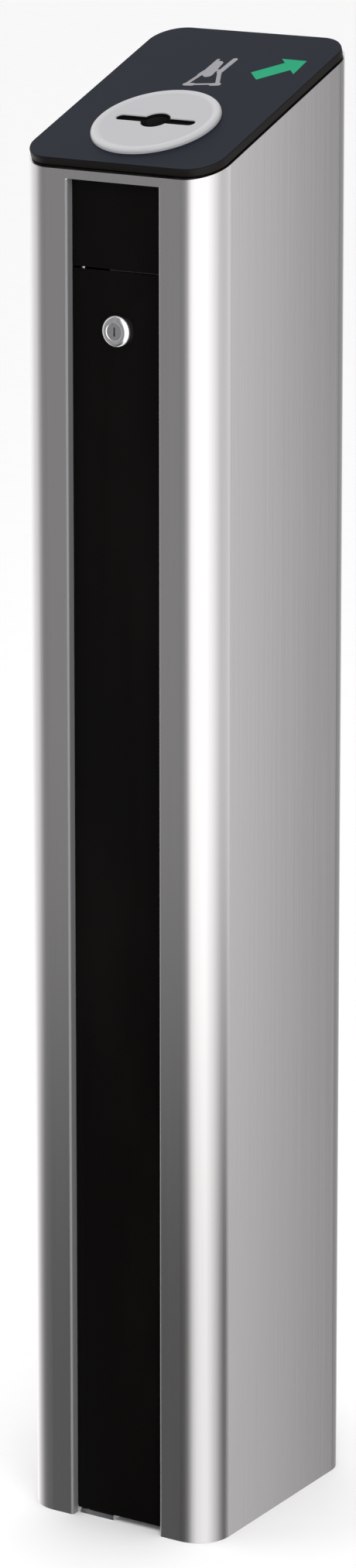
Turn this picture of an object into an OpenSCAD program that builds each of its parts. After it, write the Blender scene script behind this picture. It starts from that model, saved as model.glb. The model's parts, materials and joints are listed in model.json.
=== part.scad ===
// Slim stainless column that collects access cards: sloping top with a slot
// bezel, lockable front door, reader with shutter, drop duct and card bin.
// Origin: centre of the footprint on the ground. Front faces -Y, up is +Z.

/* [Column] */
// Width of the column
col_w = 150; // [140:1:200]
// Depth of the column, front to back
col_d = 185; // [175:1:240]
// Height of the front edge of the sloping cut
front_h = 927.5; // [880:0.5:1150]
// Slope of the top, in degrees
slope = 20; // [12:1:26]
// Outside radius of the vertical corners
corner_r = 24; // [14:1:28]
// Sheet thickness of the shell
wall = 2; // [1.5:0.5:2.5]
// Thickness of the base plate
base_t = 6; // [4:1:10]

/* [Front channel] */
// Clear width of the channel that holds the door
channel_w = 70; // [64:1:78]
// How far the door face sits behind the front face
recess = 6; // [4:0.5:8]
// Depth of the folded channel walls
return_d = 20; // [18:1:26]
// Height of the steel band above the channel, at the front face
band_h = 6; // [4:0.5:12]
// Bend radius of the channel edges
bend_r = 1.5; // [0.5:0.25:2]

/* [Door] */
// Thickness of the door plate
door_t = 5; // [4:0.5:6]
// Gap between the door and the channel walls
door_gap = 0.7; // [0.5:0.1:1]
// Height of the fixed panel above the door
panel_h = 57; // [50:1:90]
// Gap between the fixed panel and the door
seam = 1.2; // [0.8:0.1:2]
// Height of the door's lower edge above the ground
door_foot = 4; // [3:0.5:12]
// Distance from the channel wall to the pivot axis
pivot_inset = 7.6; // [7.4:0.1:10]
// Diameter of the pivot pins
pivot_d = 3; // [2:0.5:3]
// Depth of the pivot holes in the door's ends
pivot_hole = 14; // [8:1:20]

/* [Lock] */
// Diameter of the lock head
lock_head_d = 22; // [18:1:24]
// How far the lock head stands in front of the door
lock_head_t = 4.5; // [2:0.5:5.5]
// Diameter of the threaded lock body
lock_body_d = 16; // [14:1:17]
// Distance from the door's top edge to the lock axis
lock_drop = 39; // [30:1:60]
// Length of the lock body behind the door
lock_tail = 15; // [12:1:20]
// Diameter of the turning barrel
barrel_d = 11; // [8:1:12]
// Length of the cam from its axis
cam_l = 34; // [30:1:36]

/* [Top plate] */
// Gap between the plate's sides and the shell outline
plate_in_x = 1.2; // [0.5:0.1:4]
// Gap between the plate's front and back and the shell outline
plate_in_s = 2.4; // [1:0.1:5]
// Corner radius of the plate
plate_r = 22; // [18:1:34]
// Thickness of the black plate
plate_t = 5.2; // [4:0.2:8]
// Thickness of the slate face foil
foil_t = 0.4; // [0.2:0.1:1]
// Thickness of the gasket under the plate
gasket_t = 0.8; // [0.5:0.1:2]
// Thickness of the welded frame under the plate
frame_t = 3; // [2:0.5:4]

/* [Slot bezel] */
// Diameter of the round bezel
bezel_d = 87; // [84:1:96]
// Height of the bezel above the plate
bezel_t = 3.4; // [2:0.2:5]
// Distance of the bezel centre from the front edge, along the slope
bezel_s = 59; // [56:1:80]
// Length of the card slot
slot_l = 60; // [57:1:62]
// Width of the card slot
slot_w = 6.2; // [4.6:0.2:8]
// Diameter of the round widening in the middle of the slot
slot_eye_d = 20; // [12:1:20]
// Diameter of the neck below the bezel
neck_d = 69; // [67:1:72]

/* [Throat and shutter] */
// Inside width of the throat
throat_w = 61; // [61:0.5:63]
// Inside depth of the throat
throat_d = 22; // [21:0.5:26]
// Wall of the throat
throat_wall = 2; // [1.5:0.5:3]
// Length of the throat below the bezel neck
throat_l = 62; // [60:1:90]
// Diameter of the flap shaft
shaft_d = 4; // [3:0.5:4]
// Swing of the shutter flap, in degrees
flap_swing = 60; // [40:5:60]
// Distance from the flap shaft to the crank's roller
crank_r = 10; // [9:0.5:11]
// Diameter of the solenoid's plunger
plunger_d = 5; // [4:0.5:6]

/* [Duct and bin] */
// Inside depth of the drop duct
duct_d = 40; // [36:1:46]
// Length of the drop duct
duct_l = 440; // [300:5:480]
// Sheet thickness of the duct
duct_wall = 1.5; // [1:0.25:2]
// Height of the shelf under the bin
shelf_z = 56; // [50:1:80]
// Sheet thickness of the shelf
shelf_t = 3; // [2:0.5:4]
// Height of the shelf's front lip
lip_h = 9; // [6:1:12]
// How far the bin lifts to clear the lip
bin_lift = 12; // [10:1:16]
// Outside width of the bin
bin_w = 58; // [57:0.5:59]
// Outside depth of the bin
bin_d = 90; // [88:1:100]
// Height of the bin
bin_h = 350; // [200:5:352]
// Sheet thickness of the bin
bin_wall = 1.2; // [1:0.1:1.5]

/* [Electronics] */
// Width of the mounting plate
mplate_w = 118; // [110:1:120]
// Sheet thickness of the mounting plate
mplate_t = 2; // [1.5:0.5:3]
// Length of the standoffs behind the mounting plate
mplate_off = 12; // [8:1:20]
// Height of the mounting plate's lower edge
mplate_z = 90; // [80:5:120]
// Height of the mounting plate
mplate_h = 760; // [760:5:800]

/* [Mounting] */
// Spacing of the anchor holes across the column
anchor_x = 96; // [90:1:100]
// Spacing of the anchor holes front to back
anchor_y = 110; // [100:1:120]
// Diameter of the anchor holes
anchor_d = 11; // [9:0.5:13]
// Diameter of the cable entry hole
entry_d = 40; // [30:1:45]

/* [Hidden] */
$fn = 96;
fit = 0.05;         // radial clearance of a turning or sliding fit
free = 0.3;         // clearance between neighbours that move past each other
far = 400;          // longer than any cut has to be

front_y = -col_d / 2;
rear_in = col_d / 2 - wall;
face_y = front_y + recess;
door_back = face_y + door_t;
channel_top = front_h - band_h;
slope_l = col_d / cos(slope);
plate_n = gasket_t;
plate_top = gasket_t + plate_t + foil_t;
neck_n = -8;
throat_n = neck_n - throat_wall - throat_l;

pivot_x = -channel_w / 2 + pivot_inset;
pivot_y = face_y + door_t / 2;
door_top = channel_top - door_gap - panel_h - seam;
door_l = door_top - door_foot;
lock_z = door_top - lock_drop;
panel_z = door_top + seam;

knuckle_r = shaft_d / 2 + 1;
shaft_s = throat_d / 2 - knuckle_r - free;
shaft_n = throat_n + 12;
crank_x = throat_w / 2 + throat_wall + 9;
crank_tip_s = shaft_s - crank_r * cos(flap_swing / 2);
plunger_s = shaft_s - crank_r * (1 + cos(flap_swing / 2)) / 2;
crank_tip_n = shaft_n + crank_r * sin(flap_swing / 2);
roller_d = 4;
plunger_travel = 2 * crank_r * sin(flap_swing / 2);
plunger_end_n = crank_tip_n + roller_d / 2 + free;
sol_w = 18;
sol_d = 18;
sol_n0 = plunger_end_n + 3;
sol_l = 26;

function world_y(s, n) = front_y + s * cos(slope) - n * sin(slope);
function world_z(s, n) = front_h + s * sin(slope) + n * cos(slope);

duct_top = world_z(bezel_s - throat_d / 2 - throat_wall, throat_n) - 5;
duct_y = world_y(bezel_s, throat_n) + 8;
duct_x = throat_w / 2 + duct_wall;
bin_z = shelf_z + free;
lip_t = 2;
bin_y0 = door_back + 9;
mplate_y = rear_in - mplate_off - mplate_t;

board_w = 96;
board_h = 150;
board_z = mplate_z + 470;
board_t = 1.6;
board_off = 10;
board_y = mplate_y - board_off - board_t;
psu_w = 98;
psu_d = 38;
psu_h = 129;
psu_z = mplate_z + 185;
rail_z = psu_z + psu_h + 40;

// ---- shared shapes -------------------------------------------------------

// Rounded rectangle around the origin
module rounded(w, d, r) {
    square([w - 2 * r, d], center = true);
    square([w, d - 2 * r], center = true);
    for (sx = [-1, 1], sy = [-1, 1])
        translate([sx * (w / 2 - r), sy * (d / 2 - r)]) circle(r);
}

// Box from one corner to the other
module block(x0, x1, y0, y1, z0, z1) {
    translate([x0, y0, z0]) cube([x1 - x0, y1 - y0, z1 - z0]);
}

// Round bar along X, between two positions
module bar_x(x0, x1, y, z, r) {
    translate([x0, y, z]) rotate([0, 90, 0]) cylinder(r = r, h = x1 - x0);
}

// Round bar along Y, between two positions
module bar_y(y0, y1, x, z, r) {
    translate([x, y0, z]) rotate([-90, 0, 0]) cylinder(r = r, h = y1 - y0);
}

// Places children on the sloping cut: X across, Y up the slope, Z away from it
module on_slope() {
    translate([0, front_y, front_h]) rotate([slope, 0, 0]) children();
}

// Places children on the slope at the centre of the slot
module at_slot() {
    on_slope() translate([0, bezel_s, 0]) children();
}

// Hexagon nut with its lower face on z = 0
module hex_nut(across, bore_r, t) {
    difference() {
        cylinder(r = across / sqrt(3), h = t, $fn = 6);
        translate([0, 0, -1]) cylinder(r = bore_r, h = t + 2);
    }
}

// Tube swept along a smooth curve through the route's points
function lerp4(a, b, c, d, t) =
    0.5 * (2 * b + (c - a) * t + (2 * a - 5 * b + 4 * c - d) * t * t
        + (3 * b - a - 3 * c + d) * t * t * t);
function clamp_i(i, n) = max(0, min(n - 1, i));
function route_point(p, u) =
    let (n = len(p), k = min(n - 2, floor(u)))
    lerp4(p[clamp_i(k - 1, n)], p[k], p[k + 1], p[clamp_i(k + 2, n)], u - k);
function unit(v) = v / norm(v);
function route_dir(p, u) =
    let (n = len(p) - 1, a = max(0, u - 0.05), b = min(n, u + 0.05))
    unit(route_point(p, b) - route_point(p, a));

module cable(points, d, steps = 3, sides = 8) {
    count = (len(points) - 1) * steps + 1;
    side_ref = [1, 0, 0];
    rings = [for (i = [0:count - 1])
        let (u = i / steps, c = route_point(points, u), t = route_dir(points, u),
             e = unit(side_ref - t * (side_ref * t)), f = cross(t, e))
        for (k = [0:sides - 1])
            let (a = 360 * k / sides) c + (e * cos(a) + f * sin(a)) * d / 2];
    skin = [for (i = [0:count - 2], k = [0:sides - 1])
        let (a = i * sides + k, b = i * sides + (k + 1) % sides)
        each [[a, b, b + sides], [a, b + sides, a + sides]]];
    first = [for (k = [1:sides - 2]) [0, k + 1, k]];
    last = [for (k = [1:sides - 2])
        let (o = (count - 1) * sides) [o, o + k, o + k + 1]];
    polyhedron(points = rings, faces = [for (f = concat(skin, first, last)) [f[0], f[2], f[1]]]);
}

// ---- column --------------------------------------------------------------

module shell_inner(gap = 0) {
    rounded(col_w - 2 * (wall + gap), col_d - 2 * (wall + gap), corner_r - wall - gap);
}

// Sheet outline without the front channel
module shell_ring() {
    difference() {
        rounded(col_w, col_d, corner_r);
        shell_inner();
    }
}

// Sheet outline with the front channel folded in
module shell_channel_ring() {
    edge_x = channel_w / 2;
    difference() {
        union() {
            shell_ring();
            for (side = [-1, 1])
                translate([side * (edge_x + wall / 2), front_y + return_d / 2])
                    square([wall, return_d], center = true);
        }
        translate([0, front_y]) square([channel_w, 3 * wall], center = true);
        for (side = [-1, 1]) translate([side * edge_x, front_y]) difference() {
            square(2 * bend_r, center = true);
            translate([side * bend_r, bend_r]) circle(bend_r);
            translate([side * (bend_r + bend_r / 2), bend_r]) square([bend_r, 2 * bend_r], center = true);
            translate([side * bend_r, bend_r + bend_r / 2]) square([2 * bend_r, bend_r], center = true);
        }
    }
}

module column_shell() {
    color("silver") difference() {
        union() {
            linear_extrude(channel_top) shell_channel_ring();
            translate([0, 0, channel_top]) linear_extrude(col_d) shell_ring();
            block(-channel_w / 2 - wall, channel_w / 2 + wall, front_y, front_y + return_d,
                channel_top, channel_top + wall);
        }
        on_slope() translate([-far, -far, 0]) cube([2 * far, 2 * far, far]);
    }
}

// Opening in the welded frame and in the gasket
frame_open_x = col_w - 46;
frame_open_s = slope_l - 25;
module frame_opening() {
    translate([0, slope_l / 2]) rounded(frame_open_x, frame_open_s, 12);
}

// Places children at the four studs of the top plate
stud_x = col_w / 2 - 14;
stud_s = 26;
module at_studs() {
    for (x = [-stud_x, stud_x], s = [stud_s, slope_l - stud_s])
        on_slope() translate([x, s, 0]) children();
}
stud_r = 2.5;

module top_frame() {
    color("gray") difference() {
        intersection() {
            translate([0, 0, channel_top - far / 4]) linear_extrude(far) shell_inner(fit);
            on_slope() translate([-far / 2, -far / 4, -frame_t]) cube([far, 2 * far, frame_t]);
        }
        on_slope() translate([0, 0, -far / 4]) linear_extrude(far / 2) frame_opening();
        at_studs() translate([0, 0, -2 * frame_t]) cylinder(r = stud_r + free, h = 3 * frame_t);
    }
}

module lower_cut() {
    edge = channel_w / 2 + wall + fit;
    block(-edge, edge, front_y - 1, front_y + return_d + fit, -1, base_t + 1);
}

module base_plate() {
    color("dimgray") difference() {
        linear_extrude(base_t) shell_inner(fit);
        lower_cut();
        for (x = [-1, 1], y = [-1, 1])
            translate([x * anchor_x / 2, y * anchor_y / 2, -1]) cylinder(d = anchor_d, h = base_t + 2);
        translate([0, entry_y, -1]) cylinder(d = entry_d, h = base_t + 2);
        translate([earth_x, earth_y, -1]) cylinder(r = earth_r, h = base_t + 2);
    }
}
entry_y = 40;
earth_x = 56;
earth_y = 10;
earth_r = 3;

// ---- top plate -----------------------------------------------------------

plate_w = col_w - 2 * plate_in_x;
plate_l = slope_l - 2 * plate_in_s;
neck_r = neck_d / 2;

module plate_outline(inset = 0) {
    translate([0, slope_l / 2]) rounded(plate_w - 2 * inset, plate_l - 2 * inset, plate_r - inset);
}

module top_gasket() {
    color("black") difference() {
        on_slope() linear_extrude(gasket_t) difference() {
            plate_outline(4);
            frame_opening();
        }
        at_studs() translate([0, 0, -1]) cylinder(r = stud_r + free, h = gasket_t + 2);
    }
}

module top_plate() {
    color([0.08, 0.08, 0.08]) difference() {
        on_slope() translate([0, 0, plate_n]) linear_extrude(plate_t) plate_outline();
        at_slot() cylinder(r = neck_r + free, h = far / 4);
    }
}

module face_foil() {
    color([0.22, 0.24, 0.27]) difference() {
        on_slope() translate([0, 0, plate_n + plate_t]) linear_extrude(foil_t) plate_outline(0.4);
        at_slot() cylinder(r = neck_r + free, h = far / 4);
    }
}

stud_tail = 9;
module plate_studs() {
    color("silver") at_studs() translate([0, 0, -frame_t - stud_tail])
        cylinder(r = stud_r, h = frame_t + stud_tail + gasket_t);
}

module plate_nuts() {
    color("silver") at_studs() translate([0, 0, -frame_t - 4]) hex_nut(8, stud_r + fit, 4);
}

// ---- slot bezel ----------------------------------------------------------

bezel_r = bezel_d / 2;
bezel_top = plate_top + bezel_t;
chamfer = 0.8;
slot_half = (slot_l - slot_w) / 2;

// Slot with its round eye, and its chamfered upper edge
module slot_cut(z0, z1) {
    translate([-slot_half, -slot_w / 2, z0]) cube([2 * slot_half, slot_w, z1 - z0]);
    for (side = [-1, 1]) translate([side * slot_half, 0, z0]) cylinder(d = slot_w, h = z1 - z0);
    translate([0, 0, z0]) cylinder(d = slot_eye_d, h = z1 - z0);
}

module slot_chamfer() {
    w = slot_w / 2;
    translate([-slot_half, 0, bezel_top]) rotate([90, 0, 90]) linear_extrude(2 * slot_half)
        polygon([[-w - chamfer, 0], [-w, -chamfer], [w, -chamfer], [w + chamfer, 0], [w + chamfer, 1],
            [-w - chamfer, 1]]);
    for (side = [-1, 1]) translate([side * slot_half, 0, bezel_top - chamfer])
        cylinder(r1 = w, r2 = w + 2 * chamfer, h = 2 * chamfer);
    translate([0, 0, bezel_top - chamfer])
        cylinder(r1 = slot_eye_d / 2, r2 = slot_eye_d / 2 + 2 * chamfer, h = 2 * chamfer);
}

// Places children at the four screws that hold the throat to the bezel's neck
module at_throat_screws() {
    for (x = [-18, 18], s = [-24, 24]) at_slot() translate([x, s, 0]) children();
}
screw_r = 1.5;
screw_bite = 6;

module slot_bezel() {
    rim = 2.4;
    color([0.75, 0.75, 0.77]) at_slot() difference() {
        rotate_extrude() polygon([[0, plate_top], [bezel_r, plate_top], [bezel_r, plate_top + 1],
            [bezel_r - rim, bezel_top], [0, bezel_top]]);
        slot_cut(plate_top - 1, bezel_top + 1);
        slot_chamfer();
    }
}

// The two halves of the neck under the bezel, with the slot between them
module bezel_neck() {
    color([0.12, 0.12, 0.12]) difference() {
        at_slot() difference() {
            translate([0, 0, neck_n]) cylinder(r = neck_r, h = plate_top - neck_n);
            slot_cut(neck_n - 1, plate_top + 1);
            block(-neck_r - 1, neck_r + 1, -slot_w / 2, slot_w / 2, neck_n - 1, plate_top + 1);
        }
        at_throat_screws() translate([0, 0, neck_n - 1]) cylinder(r = screw_r + fit, h = screw_bite + 1.5);
    }
}

ring_t = 4.6;
ring_n = plate_n - ring_t;
module bezel_clamp_ring() {
    color("black") at_slot() difference() {
        translate([0, 0, ring_n]) cylinder(r = bezel_r - 1, h = ring_t);
        translate([0, 0, ring_n - 1]) cylinder(r = neck_r + fit, h = ring_t + 2);
        for (a = [45:90:315]) rotate(a) translate([bezel_r - 1, 0, ring_n])
            cube([5, 6, ring_t], center = true);
    }
}

light_t = 1.6;
module light_ring_board() {
    color("darkgreen") at_slot() {
        difference() {
            translate([0, 0, ring_n - light_t]) cylinder(r = bezel_r - 2, h = light_t);
            translate([0, 0, ring_n - light_t - 1]) cylinder(r = neck_r + fit, h = light_t + 2);
        }
    }
}

// ---- throat and shutter --------------------------------------------------

throat_hw = throat_w / 2;
throat_hd = throat_d / 2;
tube_hw = throat_hw + throat_wall;
tube_hd = throat_hd + throat_wall;
ear_n = -24;
ear_t = 2;
ear_l = 8;

module throat() {
    color("gray") at_slot() difference() {
        union() {
            translate([0, 0, neck_n - throat_wall]) cylinder(r = neck_r + 1.5, h = throat_wall);
            block(-tube_hw, tube_hw, -tube_hd, tube_hd, throat_n, neck_n);
            block(-20, 20, -tube_hd - ear_l, tube_hd + ear_l, ear_n - ear_t, ear_n);
        }
        block(-throat_hw, throat_hw, -throat_hd, throat_hd, throat_n - 1, neck_n + 1);
        for (x = [-18, 18], s = [-24, 24])
            translate([x, s, neck_n - 4]) cylinder(r = screw_r + free, h = 6);
        bar_x(-tube_hw - 1, tube_hw + 1, shaft_s, shaft_n, shaft_d / 2 + fit);
    }
}

antenna_hx = 30;
antenna_t = 1.6;
module antenna_boards() {
    s0 = tube_hd + free;
    color("darkgreen") at_slot() for (side = [-1, 1])
        translate([0, side * (s0 + ear_l), ear_n + antenna_t / 2])
            cube([2 * antenna_hx, 2 * ear_l, antenna_t], center = true);
}

reader_s0 = tube_hd;
reader_d = 20;
reader_n0 = -60;
reader_n1 = -30;
module reader_module() {
    color([0.15, 0.15, 0.17]) at_slot() difference() {
        block(-26, 26, reader_s0, reader_s0 + reader_d, reader_n0, reader_n1);
        for (side = [-1, 1])
            block(side * 24 - 4, side * 24 + 4, reader_s0 + 3, reader_s0 + reader_d + 1, reader_n0 - 1,
                reader_n1 + 1);
    }
}

module card_sensor() {
    color([0.1, 0.1, 0.1]) at_slot() union() {
        block(-9, 9, -tube_hd - 7, -tube_hd, -42, -30);
        block(-5, 5, -tube_hd - 11, -tube_hd - 7, -39, -33);
    }
}

sol_x = tube_hw;
coil_r = 6.4;
module solenoid() {
    color("darkgoldenrod") at_slot() difference() {
        union() {
            block(sol_x, sol_x + 2, plunger_s - sol_d / 2, plunger_s + sol_d / 2, sol_n0, sol_n0 + sol_l);
            block(sol_x, sol_x + sol_w, plunger_s - sol_d / 2, plunger_s + sol_d / 2, sol_n0, sol_n0 + 2);
            block(sol_x, sol_x + sol_w, plunger_s - sol_d / 2, plunger_s + sol_d / 2, sol_n0 + sol_l - 2,
                sol_n0 + sol_l);
            translate([crank_x, plunger_s, sol_n0 + 1]) cylinder(r = coil_r, h = sol_l - 2);
        }
        translate([crank_x, plunger_s, sol_n0 - 1]) cylinder(r = plunger_d / 2 + fit, h = sol_l + 2);
    }
}

collar_t = 2;
plunger_top = sol_n0 + sol_l + plunger_travel + 1 + collar_t;
rod_r = 1.25;
module solenoid_plunger() {
    thick_n = sol_n0 + plunger_travel + 1;
    color("silver") at_slot() translate([crank_x, plunger_s, 0]) {
        union() {
            translate([0, 0, plunger_end_n]) cylinder(r = rod_r, h = plunger_top - plunger_end_n);
            translate([0, 0, thick_n]) cylinder(r = plunger_d / 2, h = plunger_top - thick_n);
        }
    }
}

module plunger_collar() {
    color("black") at_slot() translate([crank_x, plunger_s, plunger_top - collar_t]) difference() {
        cylinder(r = plunger_d / 2 + 2, h = collar_t - 0.5);
        translate([0, 0, -1]) cylinder(r = plunger_d / 2, h = collar_t + 1);
    }
}

flap_t = 1.6;
module shutter_flap() {
    hw = throat_hw - free - 0.2;
    color([0.2, 0.2, 0.2]) at_slot() difference() {
        union() {
            bar_x(-hw, hw, shaft_s, shaft_n, knuckle_r);
            block(-hw, hw, -throat_hd + free, shaft_s, shaft_n - flap_t / 2, shaft_n + flap_t / 2);
        }
        bar_x(-hw - 1, hw + 1, shaft_s, shaft_n, shaft_d / 2);
    }
}

crank_t = 4;
arm_half = 1.4;
shaft_left = tube_hw + 8;
module flap_shaft() {
    color("silver") at_slot()
        bar_x(-shaft_left, crank_x + crank_t / 2 + 1, shaft_s, shaft_n, shaft_d / 2);
}

module flap_crank() {
    x0 = crank_x - crank_t / 2;
    color("dimgray") at_slot() difference() {
        union() {
            bar_x(x0, x0 + crank_t, shaft_s, shaft_n, 4.5);
            bar_x(x0, x0 + crank_t, crank_tip_s, crank_tip_n, roller_d / 2);
            translate([x0, shaft_s, shaft_n]) rotate([-flap_swing / 2, 0, 0])
                translate([0, -crank_r, -arm_half]) cube([crank_t, crank_r, 2 * arm_half]);
        }
        bar_x(x0 - 1, x0 + crank_t + 1, shaft_s, shaft_n, shaft_d / 2);
    }
}

wire_r = 0.4;
module flap_spring() {
    coil_r = shaft_d / 2 + free + wire_r;
    color("silver") at_slot() union() {
        translate([-tube_hw - free, shaft_s, shaft_n]) rotate([0, -90, 0]) {
            for (i = [0:6]) translate([0, 0, wire_r + i * 0.7]) rotate_extrude()
                translate([coil_r, 0]) circle(wire_r, $fn = 24);
        }
        translate([-tube_hw - free - wire_r, shaft_s + coil_r, shaft_n])
            cylinder(r = wire_r, h = 14, $fn = 24);
    }
}

// ---- duct and bin --------------------------------------------------------

duct_hd = duct_d / 2;
module drop_duct() {
    color("lightgray") translate([0, duct_y, duct_top - duct_l]) difference() {
        block(-duct_x, duct_x, -duct_hd - duct_wall, duct_hd + duct_wall, 0, duct_l);
        block(-throat_hw, throat_hw, -duct_hd, duct_hd, -1, duct_l + 1);
    }
}

arm_w = 30;
arm_t = 3;
module duct_brackets() {
    y0 = duct_y + duct_hd + duct_wall;
    color("gray") for (z = [duct_top - duct_l + 50, duct_top - 70]) {
        block(-arm_w / 2, arm_w / 2, y0, mplate_y, z, z + arm_t);
        block(-arm_w / 2, arm_w / 2, y0, y0 + arm_t, z, z + 18);
        block(-arm_w / 2, arm_w / 2, mplate_y - arm_t, mplate_y, z, z + 18);
    }
}

shelf_y1 = bin_y0 + bin_d + 3;
shelf_x = col_w / 2 - wall - fit;
module bin_shelf() {
    lip_y = bin_y0 - free - lip_t;
    tongue = channel_w / 2 - door_gap;
    color("gray") {
        union() {
            block(-shelf_x, shelf_x, front_y + corner_r, shelf_y1, shelf_z - shelf_t, shelf_z);
            block(-tongue, tongue, lip_y, shelf_y1, shelf_z - shelf_t, shelf_z);
            block(-bin_w / 2, bin_w / 2, lip_y, lip_y + lip_t, shelf_z - shelf_t, shelf_z + lip_h);
            for (side = [-1, 1])
                translate([side * (shelf_x - shelf_t / 2), (front_y + corner_r + shelf_y1) / 2, shelf_z - 11])
                    cube([shelf_t, shelf_y1 - front_y - corner_r, 22], center = true);
        }
    }
}

module card_bin() {
    color("gray") difference() {
        block(-bin_w / 2, bin_w / 2, bin_y0, bin_y0 + bin_d, bin_z, bin_z + bin_h);
        block(-bin_w / 2 + bin_wall, bin_w / 2 - bin_wall, bin_y0 + bin_wall, bin_y0 + bin_d - bin_wall,
            bin_z + bin_wall, bin_z + bin_h + 1);
    }
}

handle_r = 3;
module bin_handle() {
    color("silver") bar_x(-bin_w / 2 + bin_wall, bin_w / 2 - bin_wall, bin_y0 + 14,
        bin_z + bin_h - 14, handle_r);
}

// ---- door and fixed panel ------------------------------------------------

door_x = channel_w / 2 - door_gap;
pivot_r = pivot_d / 2;
bracket_y = door_back + 1.5;
bracket_t = 2;

module upper_panel() {
    color([0.05, 0.05, 0.05]) difference() {
        union() {
            block(-door_x, door_x, face_y, door_back, panel_z, panel_z + panel_h);
            for (x = [-20, 20]) bar_y(door_back, bracket_y, x, panel_z + panel_h / 2, 5);
        }
        for (x = [-20, 20]) bar_y(door_back - 2.5, bracket_y + 1, x, panel_z + panel_h / 2, screw_r + fit);
        translate([pivot_x, pivot_y, panel_z - 1]) cylinder(r = pivot_r, h = pivot_hole + 1);
    }
}

stop_x0 = -10;
stop_x1 = 31;
module panel_bracket() {
    edge = channel_w / 2 - fit;
    color("gray") difference() {
        union() {
            block(-edge, edge, bracket_y, bracket_y + bracket_t, panel_z + 1, channel_top - fit);
            block(stop_x0, stop_x1, bracket_y, bracket_y + bracket_t, panel_z - 10, panel_z + 2);
            for (x = [-edge, edge - bracket_t])
                block(x, x + bracket_t, bracket_y, front_y + return_d, panel_z + 1, channel_top - fit);
        }
        for (x = [-20, 20])
            bar_y(bracket_y - 1, bracket_y + bracket_t + 1, x, panel_z + panel_h / 2, screw_r + free);
    }
}

tongue_z0 = 0.2;
tongue_z1 = door_foot - 0.6;
foot_x0 = -18;
foot_x1 = -6;
module lower_bracket() {
    riser_y = front_y + return_d;
    color("gray") difference() {
        union() {
            block(pivot_x - 5, foot_x1, pivot_y - 2.4, riser_y - free, tongue_z0, tongue_z1);
            block(foot_x0, foot_x1, riser_y - 3, riser_y - free, tongue_z0, base_t + 3);
            block(foot_x0, foot_x1, riser_y - 3, riser_y + 16, base_t, base_t + 3);
        }
        translate([pivot_x, pivot_y, -1]) cylinder(r = pivot_r, h = door_foot + 2);
        translate([(foot_x0 + foot_x1) / 2, riser_y + 9, base_t - 1]) cylinder(r = screw_r + free, h = 5);
    }
}

module pivot_pins() {
    reach = pivot_hole - 2;
    color("silver") {
        translate([pivot_x, pivot_y, tongue_z0]) cylinder(r = pivot_r, h = door_foot + reach - tongue_z0);
        translate([pivot_x, pivot_y, door_top - reach]) cylinder(r = pivot_r, h = 2 * reach + seam);
    }
}

buffer_r = 3;
module door_buffers() {
    color([0.1, 0.1, 0.1]) for (x = [stop_x0 + 6, stop_x1 - 6])
        bar_y(door_back + free, bracket_y, x, door_top - 4.5, buffer_r);
}

lock_x = 0;
lock_body_r = lock_body_d / 2;
lock_end = door_back + lock_tail;
cam_y = lock_end + 0.5;
cam_t = 3;
module door_plate() {
    color([0.05, 0.05, 0.05]) difference() {
        block(-door_x, door_x, face_y, door_back, door_foot, door_top);
        bar_y(face_y - 1, door_back + 1, lock_x, lock_z, lock_body_r + fit);
        translate([pivot_x, pivot_y, door_foot - 1]) cylinder(r = pivot_r + fit, h = pivot_hole + 1);
        translate([pivot_x, pivot_y, door_top - pivot_hole]) cylinder(r = pivot_r + fit, h = pivot_hole + 1);
    }
}

keeper_x = 25;
module lock_keeper() {
    edge = channel_w / 2 - fit;
    y1 = cam_y - 1.2;
    color("gray") {
        union() {
            block(edge - 2, edge, front_y + return_d - 8, y1, lock_z - 14, lock_z + 14);
            block(keeper_x, edge, y1 - 2, y1, lock_z - 14, lock_z + 14);
        }
    }
}

module lock_housing() {
    head_r = lock_head_d / 2;
    color("silver") difference() {
        translate([lock_x, face_y, lock_z]) rotate([90, 0, 0]) rotate_extrude() polygon([
            [0, -door_t - lock_tail], [lock_body_r, -door_t - lock_tail], [lock_body_r, 0],
            [head_r, 0], [head_r, lock_head_t - 1.2], [head_r - 1.2, lock_head_t], [0, lock_head_t]]);
        bar_y(face_y - lock_head_t - 1, lock_end + 1, lock_x, lock_z, barrel_d / 2 + fit);
    }
}

module lock_nut() {
    color("silver") translate([lock_x, door_back, lock_z]) rotate([-90, 0, 0])
        hex_nut(22, lock_body_r + fit, 5);
}

barrel_face = face_y - lock_head_t + 0.6;
cam_hub_r = 7;
tang = 5.6;
module lock_barrel() {
    color("gray") difference() {
        union() {
            bar_y(barrel_face, lock_end, lock_x, lock_z, barrel_d / 2);
            block(lock_x - tang / 2, lock_x + tang / 2, lock_end - 0.1, cam_y + cam_t, lock_z - tang / 2,
                lock_z + tang / 2);
        }
        block(lock_x - 0.6, lock_x + 0.6, barrel_face - 1, barrel_face + 4, lock_z - 3, lock_z + 3);
        bar_y(lock_end + 1, cam_y + cam_t + 1, lock_x, lock_z, screw_r);
    }
}

module lock_cam() {
    color("silver") difference() {
        union() {
            bar_y(cam_y, cam_y + cam_t, lock_x, lock_z, cam_hub_r);
            block(lock_x - 5, lock_x + 5, cam_y, cam_y + cam_t, lock_z - cam_l + 1, lock_z);
        }
        block(lock_x - tang / 2 - fit, lock_x + tang / 2 + fit, cam_y - 1, cam_y + cam_t + 1,
            lock_z - tang / 2 - fit, lock_z + tang / 2 + fit);
    }
}

module cam_screw() {
    y = cam_y + cam_t;
    color("silver") {
        bar_y(lock_end + 1.5, y + 0.5, lock_x, lock_z, screw_r);
        bar_y(y, y + 2.5, lock_x, lock_z, 4.5);
    }
}

// ---- screws --------------------------------------------------------------

// Pan-head screw pointing up from its head
module m3_screw(bite) {
    cylinder(r = screw_r, h = bite);
    translate([0, 0, -2.2]) cylinder(r = 2.8, h = 2.2);
}

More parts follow.
